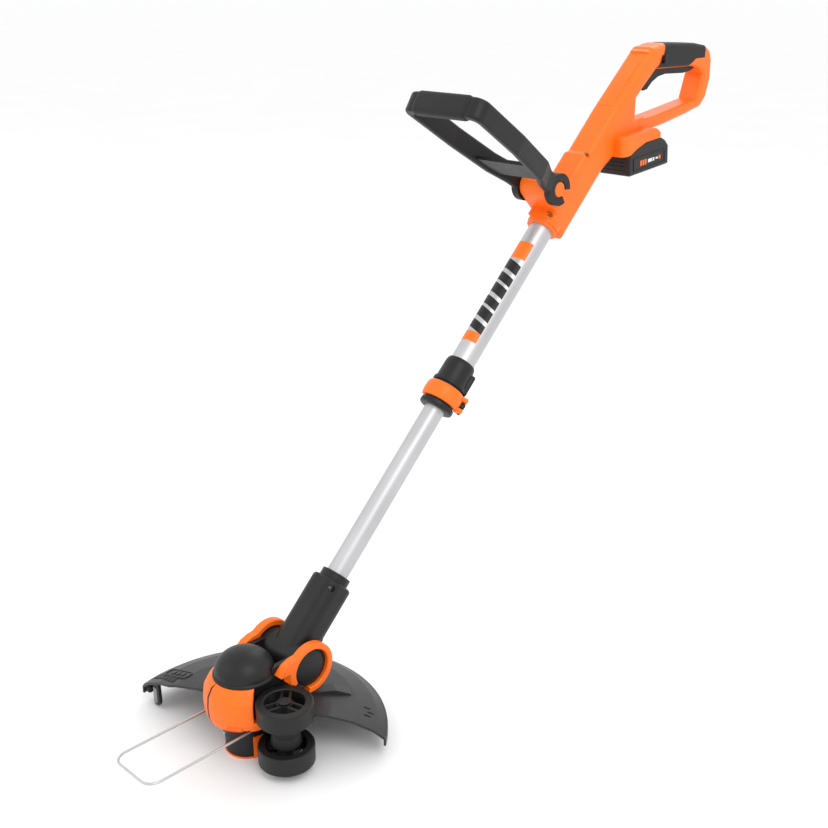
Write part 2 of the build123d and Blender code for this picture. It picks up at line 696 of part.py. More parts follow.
def handle_shell(outer, side):
    body = side_plane(slab(body_outline(), -40, 40))
    shape = outer - ((outer & grip_zone()) - grip_core() - body)
    shape = shape + battery_foot() + bail_boss() + housing_rim()
    shape = shape - handle_cavity()
    tube_end = UPPER_TUBE_SPAN[1]
    shape = shape + (SHAFT * (rod(19.0, HOUSING_START, 622) + rod(19.0, tube_end - 25, tube_end)) & outer)
    for y, z in screw_places():
        shape = shape + (side_plane(post(5.2, -17.5, 17.5, y, z)) & outer)
    # room for the tube, the pack with its rail, and the terminals
    shape = shape - SHAFT * rod(UPPER_TUBE_R, HOUSING_START - 20, tube_end)
    pack_side = outline([(-43.8, -5), (-43.8, 26.2), (-38.5, 26.4), (-26, 31.4), (-6, 36.4), (140, 36.4),
                         (140, -5)])
    shape = shape - BATTERY * slab(pack_side, -60, 60)
    shape = shape - BATTERY * block((-34.2, 140), (20, RAIL_TOP + 1), (-24.4, 24.4))
    shape = shape - BATTERY * block((-49, -30), (RAIL_TOP - 6, RAIL_TOP + 1), (-24.4, 24.4))
    shape = shape - BATTERY * block((-42, -36), (RAIL_TOP, 52), (-15.6, 15.6))
    # slots and holes for what moves or fastens
    shape = shape - trigger_space() - lock_bar_space(LOCK_R + FIT)
    for low, high in ((16, 40), (-40, -16)):
        shape = shape - SHAFT * post(KNOB_R + 0.6, low, high, BAIL_STATION, BAIL_RISE)
    shape = shape - SHAFT * post(5.0 + FIT, -30, 30, BAIL_STATION, BAIL_RISE)
    for y, z in screw_places():
        shape = shape - side_plane(post(1.6, -12, 12, y, z)) - side_plane(post(3.6, 12, 30, y, z))
    shape = shape - side_plane(post(2.0, -14, 14, *TRIGGER_PIN))
    return shape & half(side)


def handle_screws():
    screws = []
    for y, z in screw_places():
        head = post(3.1, 12, 14.4, y, z) - block((y - 2.2, y + 2.2), (z - 0.4, z + 0.4), (13.4, 15))
        screws.append(side_plane(head + post(1.6, -11.5, 12.2, y, z)))
    return Compound(children=screws)


def trigger():
    shape = side_plane(slab(trigger_profile(), -TRIGGER_HALF, TRIGGER_HALF))
    return shape - side_plane(post(2.0 + FIT, -20, 20, *TRIGGER_PIN))


def trigger_pin():
    return side_plane(post(2.0, -14, 14, *TRIGGER_PIN))


def switch_module():
    """The switch that the trigger presses."""
    plunger = block((731, 735), (688.6, 689.4), (-3, 3))
    return side_plane(block((722, 752), (689.2, 697.2), (-7.5, 7.5)) + plunger)


def lock_button():
    """Cross bar that has to be pushed sideways before the trigger can move."""
    bar = post(LOCK_R, -21.8, 21.8, *LOCK_PLACE)
    bar = chamfer(bar.edges(), 1.0)
    return side_plane(bar)


def knob(side):
    """Toothed orange knob that frees the loop handle when it is pushed in."""
    head = post(KNOB_R, 20, 29.5)
    head = chamfer(head.edges().group_by(Axis.Z)[-1], 1.2)
    for turn in range(12):
        head = head - Rot(0, 0, turn * 30) * Pos(KNOB_R + 0.6, 0, 26) * Cylinder(1.4, 9)
    shape = head + post(5.0, 6, 20.5)
    if side < 0:
        shape = mirror(shape, about=Plane.XY)
    return SHAFT * Pos(BAIL_STATION, BAIL_RISE, 0) * shape


def knob_spring():
    return SHAFT * Pos(BAIL_STATION, BAIL_RISE, -5.2) * spring(0.5, 3.4, 2.0, 10.4)


# ---- loop handle --------------------------------------------------------------------
def bail_frame():
    """x out along the arms, y to the user's left, z up the shaft."""
    a = radians(BAIL_LEAN)
    return SHAFT * Plane(origin=(BAIL_STATION, BAIL_RISE, 0), x_dir=(-sin(a), cos(a), 0),
                         z_dir=(cos(a), sin(a), 0)).location


def bail_handle():
    """Loop handle: a flat band bent into a closed bow, with open hubs on its ends."""
    right_side = [(16, 29.6), (28, 31), (55, 43.5), (120, 52.5), (BAIL_REACH, BAIL_HALF)]
    inner_side = [(16, 20.6), (31, 22), (59, 34), (122, 43), (BAIL_REACH - 11, 46)]
    outer = outline(right_side + [(x, -y) for x, y in reversed(right_side)])
    outer = fillet(outer.vertices().sort_by(Axis.X)[-2:], 14)
    across = [(x, -y) for x, y in reversed(inner_side[1:])]
    inner = outline([(0, 20.6)] + inner_side[1:] + across + [(0, -20.6)])
    inner = fillet(inner.vertices().sort_by(Axis.X)[-2:], 7)
    band = slab(outer - inner, -BAIL_DEPTH / 2, BAIL_DEPTH / 2)
    band = fillet(band.faces().filter_by(Axis.Z).edges().filter_by(lambda e: e.center().X > 20), 3.5)
    web = slab(outline([(47, 31), (84, 39), (84, -39), (47, -31)]), -9, -4.5)
    shape = band + web
    hub = Circle(BAIL_HUB_R) - Circle(KNOB_R + GAP)
    hub = hub - outline([(0, 0), (-26, -13), (-26, 13)])
    for low, high in ((20.6, 29.6), (-29.6, -20.6)):
        shape = shape + Plane.XZ.location * slab(hub, low, high)
    knob_space = Plane.XZ.location * post(KNOB_R + GAP, -40, 40)
    return bail_frame() * (shape - knob_space)


def bail_grip():
    """Soft cover on the cross bar."""
    low, high = BAIL_REACH - 14.0, BAIL_REACH + 2.6
    cover = block((low, high), (-39, 39), (-BAIL_DEPTH / 2 - 1.6, BAIL_DEPTH / 2 + 1.6))
    cover = fillet(cover.edges().filter_by(Axis.Y), 7.0)
    bar = block((BAIL_REACH - 11, BAIL_REACH), (-60, 60), (-BAIL_DEPTH / 2, BAIL_DEPTH / 2))
    return bail_frame() * (cover - bar)


# ---- battery ------------------------------------------------------------------------
def battery_case():
    """Lower tray of the pack."""
    a, w = BATTERY_HALF_LENGTH, BATTERY_HALF_WIDTH
    shape = block((-a, a), (0, 20), (-w, w))
    shape = fillet(shape.edges().filter_by(Axis.Y), 2)
    shape = chamfer(shape.edges().group_by(Axis.Y)[0], 1.5)
    shape = shape - block((-a + 3, a - 3), (3, 21), (-w + 3, w - 3))
    return BATTERY * shape


def battery_cover():
    """Upper half of the pack, with the rail that slides into the handle's foot."""
    a, w, top = BATTERY_HALF_LENGTH, BATTERY_HALF_WIDTH, BATTERY_HEIGHT
    side = outline([(-a, 20), (-a, 25.4), (-38.5, 26), (-26, 31), (-6, top), (27, top), (35, 31), (a, 22),
                    (a, 20)])
    shape = slab(side, -w, w)
    shape = fillet(shape.edges().filter_by(Axis.Y), 2)
    shape = shape + block((-33.4, a), (20, top), (-23.6, 23.6))
    shape = shape + block(RAIL_SPAN, (top - 1, RAIL_TOP), (-23.6, 23.6))
    room = outline([(-a + 3, 19), (-a + 3, 22.4), (-25, 27.6), (-6, top - 3), (26, top - 3), (a - 7, 26),
                    (a - 7, 19)])
    shape = shape - slab(room, -w + 3, w - 3)
    shape = shape - block((RAIL_SPAN[0] + 2.4, a - 7), (19, RAIL_TOP - 2.4), (-21, 21))
    shape = shape - block((a - 6, a + 1), (20, 32), (-11.4, 11.4))
    return BATTERY * shape


def battery_cells():
    """Five cells lying along the pack, three below and two nested on top."""
    start = -30.5
    step = CELL_R + 0.1
    low = 12.5
    high = low + 1.74 * step
    places = [(-2 * step, low), (0, low), (2 * step, low), (-step, high), (step, high)]
    cells = [BATTERY * rod(CELL_R, start, start + CELL_LENGTH, rise, side) for side, rise in places]
    return Compound(children=cells)


def battery_latch():
    """Release button on the rear end of the pack."""
    key = block((BATTERY_HALF_LENGTH - 5.6, BATTERY_HALF_LENGTH + 1.6), (23.6, 31.6), (-11, 11))
    return BATTERY * key


def battery_socket():
    """Terminal block in the foot, with its two contact blades."""
    shape = block((-41.8, -36.2), (40, 51.8), (-15.4, 15.4))
    for side in (-9, 9):
        shape = shape + block((-36.4, -34.4), (39, 46), (side - 1, side + 1))
    return BATTERY * shape


# ---- write --------------------------------------------------------------------------
handle = handle_solid()
save("handle_shell_left", handle_shell(handle, 1))
save("handle_shell_right", handle_shell(handle, -1))
save("soft_grip", soft_grip(handle))
save("handle_screws", handle_screws())
save("trigger", trigger())
save("trigger_pin", trigger_pin())
save("switch_module", switch_module())
save("lock_button", lock_button())
save("knob_left", knob(1))
save("knob_right", knob(-1))
save("knob_spring", knob_spring())
save("bail_handle", bail_handle())
save("bail_grip", bail_grip())
save("battery_case", battery_case())
save("battery_cover", battery_cover())
save("battery_cells", battery_cells())
save("battery_latch", battery_latch())
save("battery_socket", battery_socket())
save("upper_tube", upper_tube())
save("lower_tube", lower_tube())
save("slide_bush", slide_bush())
save("clamp_sleeve", clamp_sleeve())
save("clamp_pin", clamp_pin())
save("clamp_lever", clamp_lever())
save("neck_shell_left", neck_shell(1))
save("neck_shell_right", neck_shell(-1))
save("neck_screws", neck_screws())
save("pivot_axle", pivot_axle())
save("head_frame", head_frame())
save("motor_can", motor_can())
save("motor_shaft", motor_shaft())
save("dome_cover", dome_cover())
save("barrel_front_cover", barrel_front_cover())
save("barrel_side_panel", barrel_side_panel())
save("pivot_ring_left", pivot_ring(1))
save("pivot_ring_right", pivot_ring(-1))
save("hub_cover_left", hub_cover(1))
save("hub_cover_right", hub_cover(-1))
save("spool_housing", spool_housing())
save("eyelets", eyelets())
save("spool", spool())
save("line_winding", line_winding())
save("spool_spring", spool_spring())
save("spool_cap", spool_cap())
guard_shape = guard()
save("guard", guard_shape)
save("guard_screws", guard_screws())
save("blade_holder", blade_holder(guard_shape))
save("cutter_blade", cutter_blade())
save("blade_screws", blade_screws())
save("wheel_bracket", wheel_bracket())
save("bracket_screws", bracket_screws())
save("wheel_axle", wheel_axle())
save("axle_caps", axle_caps())
save("wheel_upper", wheel_upper())
save("wheel_lower", wheel_lower())
save("wire_guard", wire_guard())
save("wire_clips", wire_clips())
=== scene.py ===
import json
from math import cos, pi, radians, sin

import bmesh
import bpy
from mathutils import Matrix, Vector


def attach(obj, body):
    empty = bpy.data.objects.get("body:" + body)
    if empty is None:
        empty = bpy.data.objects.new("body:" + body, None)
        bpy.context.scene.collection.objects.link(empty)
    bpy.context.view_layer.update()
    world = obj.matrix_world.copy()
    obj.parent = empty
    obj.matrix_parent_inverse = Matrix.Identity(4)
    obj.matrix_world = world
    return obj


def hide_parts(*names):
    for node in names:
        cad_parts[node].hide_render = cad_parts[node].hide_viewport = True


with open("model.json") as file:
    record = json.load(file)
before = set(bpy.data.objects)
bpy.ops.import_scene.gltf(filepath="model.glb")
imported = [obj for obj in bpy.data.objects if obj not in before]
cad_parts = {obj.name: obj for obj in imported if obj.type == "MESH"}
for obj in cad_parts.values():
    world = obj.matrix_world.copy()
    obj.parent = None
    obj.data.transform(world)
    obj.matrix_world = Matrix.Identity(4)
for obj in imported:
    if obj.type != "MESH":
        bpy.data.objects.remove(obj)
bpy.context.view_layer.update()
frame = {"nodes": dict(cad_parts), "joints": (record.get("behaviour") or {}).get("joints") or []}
nodes = frame["nodes"]

# ---- Where it is seen -----------------------------------------------------------------
# The trimmer leans as it is held, seen from above its wheels with a long lens, in a white
# studio with one large soft light high on its right and two weaker ones beside and behind.
eye = bpy.data.cameras.new("eye")
eye.lens = 50.65
eye.sensor_width = 36.0
eye.clip_start, eye.clip_end = 0.05, 200.0
viewer = bpy.data.objects.new("eye", eye)
viewer.location = (0.8763, -0.6328, 0.7983)
viewer.rotation_euler = (radians(90 - 21), 0.0, radians(44.5))
bpy.context.scene.collection.objects.link(viewer)
bpy.context.scene.camera = viewer
bpy.context.scene.view_settings.view_transform = "Standard"

sky = bpy.data.worlds.new("studio")
bpy.context.scene.world = sky
sky.use_nodes = True
sky.node_tree.nodes["Background"].inputs["Color"].default_value = (1.0, 1.0, 1.0, 1.0)
sky.node_tree.nodes["Background"].inputs["Strength"].default_value = 1.1

soft_boxes = {
    "key": ((1.9, -0.4, 2.6), 1.8, 26.0),
    "front": ((-1.4, -2.2, 1.7), 1.6, 8.0),
    "back": ((-0.8, 2.6, 2.4), 1.6, 14.0),
}
middle = Vector((0.0, 0.35, 0.35))
for name, (place, width, power) in soft_boxes.items():
    lamp = bpy.data.lights.new(name, "AREA")
    lamp.shape, lamp.size, lamp.energy = "DISK", width, power
    holder = bpy.data.objects.new(name, lamp)
    holder.location = place
    holder.rotation_euler = (middle - Vector(place)).to_track_quat("-Z", "Y").to_euler()
    bpy.context.scene.collection.objects.link(holder)


# ---- Shaft tubes ----------------------------------------------------------------------
# Two drawn aluminium tubes, satin anodised. The lower one, 25 mm, slides and turns in the
# upper one, 30 mm. Drawing leaves fine lines along the tube.
class Socket:
    """One socket of a finish. Sums and products on it add their own Math nodes."""

    def __init__(self, tree, socket=None):
        self.tree, self.socket = tree, socket

    def node(self, kind, settings, inputs, out=0):
        """Adds a node: its settings first, then the values or links of its inputs."""
        made = self.tree.nodes.new(kind)
        for name, value in settings.items():
            setattr(made, name, value)
        for name, value in inputs.items():
            if isinstance(value, Socket):
                self.tree.links.new(value.socket, made.inputs[name])
            else:
                made.inputs[name].default_value = value
        return Socket(self.tree, made.outputs[out])

    def maths(self, operation, first, second):
        return self.node("ShaderNodeMath", {"operation": operation}, {0: first, 1: second})

    def __add__(self, other):
        return self.maths("ADD", self, other)

    __radd__ = __add__

    def __mul__(self, other):
        return self.maths("MULTIPLY", self, other)

    __rmul__ = __mul__

    def __sub__(self, other):
        return self.maths("SUBTRACT", self, other)

    def __rsub__(self, other):
        return self.maths("SUBTRACT", other, self)

    def noise(self, scale, detail=3.0, stretch=None, turn=(0.0, 0.0, 0.0)):
        """Cloudy pattern on the object's own coordinates, with a scale in cells per metre."""
        place = self.node("ShaderNodeTexCoord", {}, {}, "Object")
        if stretch:
            place = self.node("ShaderNodeMapping", {}, {"Vector": place, "Rotation": turn})
            place = self.node("ShaderNodeMapping", {}, {"Vector": place, "Scale": stretch})
        return self.node("ShaderNodeTexNoise", {}, {"Vector": place, "Scale": scale, "Detail": detail})

    def blend(self, amount, first, second):
        """A colour between two others."""
        settings = {"data_type": "RGBA", "clamp_factor": True}
        return self.node("ShaderNodeMix", settings, {0: amount, 6: first, 7: second}, 2)

    def bump(self, height, depth, strength):
        """Relief with its depth in metres."""
        return self.node("ShaderNodeBump", {}, {"Height": height, "Distance": depth, "Strength": strength})


def new_finish(name, **steady):
    """An empty finish, with what is the same all over the surface set on its shader."""
    paint = bpy.data.materials.new(name)
    paint.use_nodes = True
    shader = paint.node_tree.nodes["Principled BSDF"]
    for key, value in steady.items():
        shader.inputs[key.replace("_", " ")].default_value = value
    return paint, shader, Socket(paint.node_tree)


def feed(tool, shader, **varying):
    for key, value in varying.items():
        tool.tree.links.new(value.socket, shader.inputs[key.replace("_", " ")])


def wear(paint, *names):
    """Gives CAD pieces a finish."""
    for name in names:
        slots = nodes[name].material_slots
        for index in range(len(slots)):
            slots[index].material = paint


shaft_up = Vector(next(j["axis"] for j in frame["joints"] if j["name"] == "shaft_slide")).normalized()
shaft_foot = Vector(next(j["pos_m"] for j in frame["joints"] if j["name"] == "head_tilt"))
shaft_lift = Vector((0.0, -shaft_up.z, shaft_up.y))
shaft_frame = Matrix((shaft_up, shaft_lift, Vector((1, 0, 0)))).transposed().to_4x4()
shaft_frame.translation = shaft_foot


def drawn_aluminium():
    paint, shader, tool = new_finish("drawn_aluminium", Metallic=0.85, Anisotropic=0.3)
    lean = (radians(90) - shaft_up.angle(Vector((0, 1, 0))), 0.0, 0.0)
    lines = tool.noise(9.0, 4.0, (260.0, 260.0, 1.2), lean)
    cloud = tool.noise(14.0, 2.0)
    feed(tool, shader, Base_Color=tool.blend(cloud, (0.47, 0.47, 0.48, 1), (0.58, 0.58, 0.59, 1)),
         Roughness=0.36 + 0.1 * lines + 0.08 * cloud, Normal=tool.bump(lines, 0.00002, 0.5))
    return paint


aluminium = drawn_aluminium()
wear(aluminium, "upper_tube", "lower_tube")

# ---- Moulded casings ------------------------------------------------------------------
# Injection-moulded nylon and ABS. The mould is spark-eroded, so the skin has a fine even
# grain, a little cloudier where hands polish it.
def moulded(name, light, dark, shine, grain, depth):
    """Moulded plastic: two near shades, the roughness, cells per metre of grain, its depth."""
    paint, shader, tool = new_finish(name, Specular_IOR_Level=0.32)
    cloud = tool.noise(22.0, 3.0)
    smear = tool.noise(60.0, 5.0)
    skin = tool.noise(grain, 2.0)
    feed(tool, shader, Base_Color=tool.blend(cloud, (*dark, 1), (*light, 1)),
         Roughness=shine + 0.14 * smear + 0.1 * skin - 0.1, Normal=tool.bump(skin, depth, 0.7))
    return paint


orange = moulded("orange_abs", (1.0, 0.178, 0.009), (0.92, 0.138, 0.005), 0.36, 2600.0, 0.00003)
black = moulded("black_nylon", (0.011, 0.011, 0.0115), (0.0065, 0.0065, 0.007), 0.42, 2200.0, 0.00005)
guard_grey = moulded("guard_nylon", (0.032, 0.032, 0.034), (0.021, 0.021, 0.023), 0.40, 1800.0, 0.00004)
pack_black = moulded("pack_abs", (0.016, 0.016, 0.017), (0.010, 0.010, 0.011), 0.4, 2400.0, 0.00003)
wear(orange, "handle_shell_left", "handle_shell_right", "knob_left", "knob_right",
     "barrel_front_cover", "barrel_side_panel", "pivot_ring_left", "pivot_ring_right", "spool_cap")
wear(black, "trigger", "lock_button", "slide_bush", "neck_shell_left", "neck_shell_right",
     "head_frame", "dome_cover", "hub_cover_left", "hub_cover_right", "wheel_bracket", "axle_caps",
     "wheel_upper", "wheel_lower", "wire_clips", "spool_housing", "spool", "battery_socket",
     "switch_module", "bail_handle")
wear(guard_grey, "guard")
wear(pack_black, "battery_case", "battery_cover", "battery_latch")

# ---- Soft covers ----------------------------------------------------------------------
# Thermoplastic rubber moulded over the rear grip and the loop's cross bar. It is matt and
# has rows of small dots.
def soft_rubber():
    paint, shader, tool = new_finish("soft_rubber", Sheen_Weight=0.06, Sheen_Roughness=0.5,
                                     Specular_IOR_Level=0.3)
    place = tool.node("ShaderNodeTexCoord", {}, {}, "Object")
    dots = tool.node("ShaderNodeTexVoronoi", {}, {"Vector": place, "Scale": 420.0, "Randomness": 0.15})
    cloud = tool.noise(40.0, 3.0)
    feed(tool, shader, Base_Color=tool.blend(cloud, (0.010, 0.010, 0.011, 1), (0.018, 0.018, 0.019, 1)),
         Roughness=0.62 + 0.16 * cloud, Normal=tool.bump(1.0 - dots, 0.0002, 0.45))
    return paint


rubber = soft_rubber()
wear(rubber, "soft_grip")

# ---- Steel ----------------------------------------------------------------------------
# Ground pins and axles, bright plated wire, blackened screws, yellow-passivated screws in
# the housing, made dark orange so that they also carry painted shade of their recesses, and
# the darker ground blade. Turning and grinding leave fine scratches.
def ground_steel(name, light, dark, shine):
    paint, shader, tool = new_finish(name, Metallic=1.0)
    scratches = tool.noise(700.0, 5.0, (1.0, 1.0, 0.08))
    feed(tool, shader, Base_Color=tool.blend(scratches, (*dark, 1), (*light, 1)),
         Roughness=shine + 0.18 * scratches, Normal=tool.bump(scratches, 0.00002, 0.4))
    return paint


steel = ground_steel("ground_steel", (0.66, 0.66, 0.67), (0.5, 0.5, 0.51), 0.22)
wire_steel = ground_steel("plated_wire", (0.62, 0.62, 0.63), (0.48, 0.48, 0.49), 0.26)
screw_black = ground_steel("black_screw", (0.14, 0.14, 0.14), (0.08, 0.08, 0.08), 0.3)
# Yellow zinc plating, darkened towards orange as painted shade of the shaded screw recesses in the orange
# housing.
zinc_and_recess_shade = ground_steel("yellow_zinc_and_painted_recess_shade", (0.55, 0.27, 0.08), (0.4, 0.19, 0.05), 0.42)
blade_steel = ground_steel("blade_steel", (0.34, 0.34, 0.35), (0.24, 0.24, 0.25), 0.45)
wear(steel, "trigger_pin", "pivot_axle", "wheel_axle", "motor_shaft", "motor_can", "eyelets")
wear(wire_steel, "wire_guard", "spool_spring", "knob_spring")
wear(zinc_and_recess_shade, "handle_screws")
wear(screw_black, "neck_screws", "guard_screws", "bracket_screws")

# ---- Line and cells -------------------------------------------------------------------
# Twisted amber nylon line wound on the spool, and the pack's steel cells in their shrunk
# blue sleeves.
nylon = moulded("line_nylon", (0.9, 0.42, 0.05), (0.75, 0.3, 0.03), 0.4, 900.0, 0.0001)
sleeve = moulded("cell_wrap", (0.05, 0.2, 0.32), (0.03, 0.15, 0.26), 0.35, 1500.0, 0.00002)
wear(nylon, "line_winding")
wear(sleeve, "battery_cells")

# ---- Sticker on the upper tube --------------------------------------------------------
# Two printed orange end blocks and slanted black bars of vinyl film, rolled on over the
# top of the tube.
MM = 0.001
FILM_RADIUS = 15.06
FILM_THICKNESS = 0.12
FILM_FROM = radians(-58)
FILM_TURN = radians(108)
BAR_SLANT = 0.35


def piece(name, shape, body, slot, paint, *stands_for):
    """Closes a mesh, gives it its finish and hangs it on the body it moves with."""
    bmesh.ops.remove_doubles(shape, verts=shape.verts, dist=0.000002)
    bmesh.ops.recalc_face_normals(shape, faces=shape.faces)
    data = bpy.data.meshes.new(name)
    shape.to_mesh(data)
    shape.free()
    data.shade_smooth()
    data.set_sharp_from_angle(angle=radians(35))
    data.materials.append(paint)
    made = bpy.data.objects.new(name, data)
    bpy.context.scene.collection.objects.link(made)
    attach(made, body)
    if stands_for:
        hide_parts(*stands_for)


def chain(points, closed=False):
    """A mesh that is a line through points in millimetres."""
    shape = bmesh.new()
    line = [shape.verts.new(Vector(point) * MM) for point in points]
    for one, other in zip(line, line[1:] + line[:1] if closed else line[1:]):
        shape.edges.new((one, other))
    return shape


def everything(shape):
    return shape.verts[:] + shape.edges[:] + shape.faces[:]


def cut(shape, point, way, keep):
    """Cuts a mesh at a plane and keeps one side of it."""
    bmesh.ops.bisect_plane(shape, geom=everything(shape), dist=0.0000001, plane_co=Vector(point) * MM,
                           plane_no=way, clear_inner=keep == "far", clear_outer=keep == "near")


def stripe(low, high, slant):
    """Film between two stations of the tube, its ends cut at a slant."""
    side, rise = FILM_RADIUS * cos(FILM_FROM), FILM_RADIUS * sin(FILM_FROM)
    shape = chain([(low - 12, side, rise), (high + 12, side, rise)])
    bmesh.ops.spin(shape, geom=everything(shape), cent=(0, 0, 0), axis=(1, 0, 0), angle=FILM_TURN, steps=28)
    cut(shape, (low, 0, 0), (1, 0, slant), "far")
    cut(shape, (high, 0, 0), (1, 0, slant), "near")
    bmesh.ops.solidify(shape, geom=shape.faces[:], thickness=FILM_THICKNESS * MM)
    bmesh.ops.transform(shape, matrix=shaft_frame, verts=shape.verts)
    return shape


piece("sticker_top", stripe(535, 559, 0.0), "handle", "orange_plastic", orange)
piece("sticker_foot", stripe(415, 428, 0.0), "handle", "orange_plastic", orange)
for number, start in enumerate((431, 448, 465.5, 482.5, 500, 517)):
    wide = 13.5 if number % 2 else 11.5
    bar = stripe(start, start + wide, BAR_SLANT)
    piece(f"sticker_bar_{number}", bar, "handle", "black_plastic", black)

# ---- Clamp ----------------------------------------------------------------------------
# Nylon sleeve glued on the upper tube's end, slit inside so that it grips the lower tube,
# and the orange cam lever that squeezes it, which swings on a pin in the sleeve's ear.
PIN_SIDE = radians(42.2)
lying = Matrix.Rotation(radians(90), 4, "Y")
pin_side = shaft_frame @ Matrix.Rotation(PIN_SIDE, 4, "X")


def close_holes(shape):
    bmesh.ops.holes_fill(shape, edges=[e for e in shape.edges if e.is_boundary], sides=0)


def soften(shape, edges, radius, steps):
    bmesh.ops.bevel(shape, geom=edges, offset=radius * MM, segments=steps, profile=0.5,
                    affect="EDGES", material=-1)


def turned(profile, place, start=0.0, angle=2 * pi, steps=64):
    """A closed profile of (radius, height) in millimetres, turned about local z."""
    shape = chain([(r * cos(start), r * sin(start), z) for r, z in profile], closed=True)
    whole = angle == 2 * pi
    bmesh.ops.spin(shape, geom=everything(shape), cent=(0, 0, 0), axis=(0, 0, 1), angle=angle,
                   steps=steps, use_merge=whole)
    if not whole:
        close_holes(shape)
    bmesh.ops.transform(shape, matrix=place, verts=shape.verts)
    return shape


def add_bar(shape, spans, place, soft, steps=3):
    """Adds a bar between limits in millimetres on each local axis, its edges rounded."""
    size = Matrix.Diagonal([(high - low) * MM for low, high in spans] + [1.0])
    middle = Matrix.Translation([(high + low) / 2 * MM for low, high in spans])
    made = bmesh.ops.create_cube(shape, size=1.0, matrix=middle @ size)
    edges = list({edge for vert in made["verts"] for edge in vert.link_edges})
    before = set(shape.verts) - set(made["verts"])
    soften(shape, edges, soft, steps)
    bmesh.ops.transform(shape, matrix=place, verts=[v for v in shape.verts if v not in before])
    return shape


foot_rim = [(12.8, 326), (19.2, 326), (20.4, 326.6), (21.0, 328), (21.0, 331.4), (20.4, 332.8)]
lever_seat = [(18.7, 333.4), (18.7, 357)]
upper_rim = [(20.3, 357.4), (20.9, 358.4), (20.9, 361), (20.3, 362.2), (19.1, 362.6)]
collar = [(18.9, 364), (18.6, 384), (17.9, 388), (16.8, 390.3), (15.1, 391)]
bore = [(15.1, 340), (12.8, 340)]
clamp_sleeve = turned(foot_rim + lever_seat + upper_rim + collar + bore, shaft_frame @ lying)
add_bar(clamp_sleeve, ((356, 383), (-5, 5), (15, 23.4)), pin_side, 2.6, 4)
add_bar(clamp_sleeve, ((341.2, 347.8), (-4, 4.5), (16, 29.4)), pin_side, 1.4)
piece("clamp_sleeve_moulding", clamp_sleeve, "handle", "black_plastic", black, "clamp_sleeve")

band_section = [(19.2, 334.6), (22.2, 334.8), (23.3, 336.4), (23.9, 339.5), (24.1, 344.5),
                (23.9, 349.5), (23.3, 352.6), (22.2, 354.2), (19.2, 354.4)]
lever = turned(band_section, pin_side @ lying, radians(-6), radians(169), 48)
for low in (334.6, 348.8):
    add_bar(lever, ((low, low + 5.6), (-4.6, 8.6), (19.4, 29.4)), pin_side, 2.0, 4)
piece("clamp_lever_moulding", lever, "clamp_lever", "orange_plastic", orange, "clamp_lever")
pin = add_bar(bmesh.new(), ((333.4, 356.4), (-2.2, 2.2), (24.6, 28.8)), pin_side, 2.0, 6)
piece("clamp_pin_body", pin, "handle", "bright_steel", screw_black, "clamp_pin")

# ---- Dome lip -------------------------------------------------------------------------
# The black nylon cap over the motor ends in a rolled lip where it snaps on to the frame,
# just above the orange barrel.
upright = Matrix.Identity(4)
lip_section = [(31.6, 93.1), (33.8, 93.2), (34.3, 94.2), (34.0, 95.6), (33.0, 96.8), (32.0, 97.2),
               (31.6, 97.2)]
piece("dome_lip", turned(lip_section, upright, steps=96), "head", "black_plastic", black)

# ---- Guard details --------------------------------------------------------------------
# The moulded guard has a bead along its rim. Its far wing has a raised blank badge and a
# band of soft black rubber along the front edge, which ends in a thick toe at the tip.
BEAD_RADIUS = 151.3
BEAD_HEIGHT = 24.4
BEAD_THICK = 1.5
bead_section = [(BEAD_RADIUS + BEAD_THICK * cos(radians(a)), BEAD_HEIGHT + BEAD_THICK * sin(radians(a)))
                for a in range(0, 360, 36)]
bead = turned(bead_section, upright, radians(38.5), radians(155), 120)
piece("guard_bead", bead, "head", "guard_plastic", guard_grey)


def tray(wide, deep, thick, corner, rim_width, sunk, place):
    """A blank badge: a rounded plate whose face lies lower than its rim."""
    shape = bmesh.new()
    bmesh.ops.create_cube(shape, size=1.0, matrix=Matrix.Diagonal((wide * MM, deep * MM, thick * MM, 1.0)))
    corners = [e for e in shape.edges if abs(e.verts[0].co.z - e.verts[1].co.z) > thick * MM / 2]
    soften(shape, corners, corner, 6)
    face = max(shape.faces, key=lambda f: f.calc_center_median().z)
    bmesh.ops.inset_region(shape, faces=[face], thickness=rim_width * MM, depth=0.0)
    bmesh.ops.inset_region(shape, faces=[face], thickness=0.3 * MM, depth=-sunk * MM)
    bmesh.ops.transform(shape, matrix=place, verts=shape.verts)
    return shape


def facing(origin, along, up):
    """A frame with its x along one direction and its z close to another."""
    x = Vector(along).normalized()
    y = Vector(up).cross(x).normalized()
    made = Matrix((x, y, x.cross(y))).transposed().to_4x4()
    made.translation = Vector(origin) * MM
    return made


wing = facing((-109, -12.5, 46.4), (1, 0.09, 0.27), (-0.25, 0, 1))
badge = tray(39, 15.5, 1.6, 4.4, 1.3, 0.9, wing)
for shift in (-8, 0, 8):
    add_bar(badge, ((shift - 2.4, shift + 2.4), (-3.2, 3.2), (-0.2, 0.9)), wing, 0.4)
piece("guard_badge", badge, "head", "guard_plastic", guard_grey)


def skin(line, start, angle, steps):
    """The surface that a line of (radius, height) sweeps as it turns about the head's axis."""
    shape = chain([(r * cos(start), r * sin(start), z) for r, z in line])
    bmesh.ops.spin(shape, geom=everything(shape), cent=(0, 0, 0), axis=(0, 0, 1), angle=angle, steps=steps)
    return shape


def thicken(shape, thickness):
    bmesh.ops.recalc_face_normals(shape, faces=shape.faces)
    bmesh.ops.solidify(shape, geom=shape.faces[:], thickness=thickness * MM)


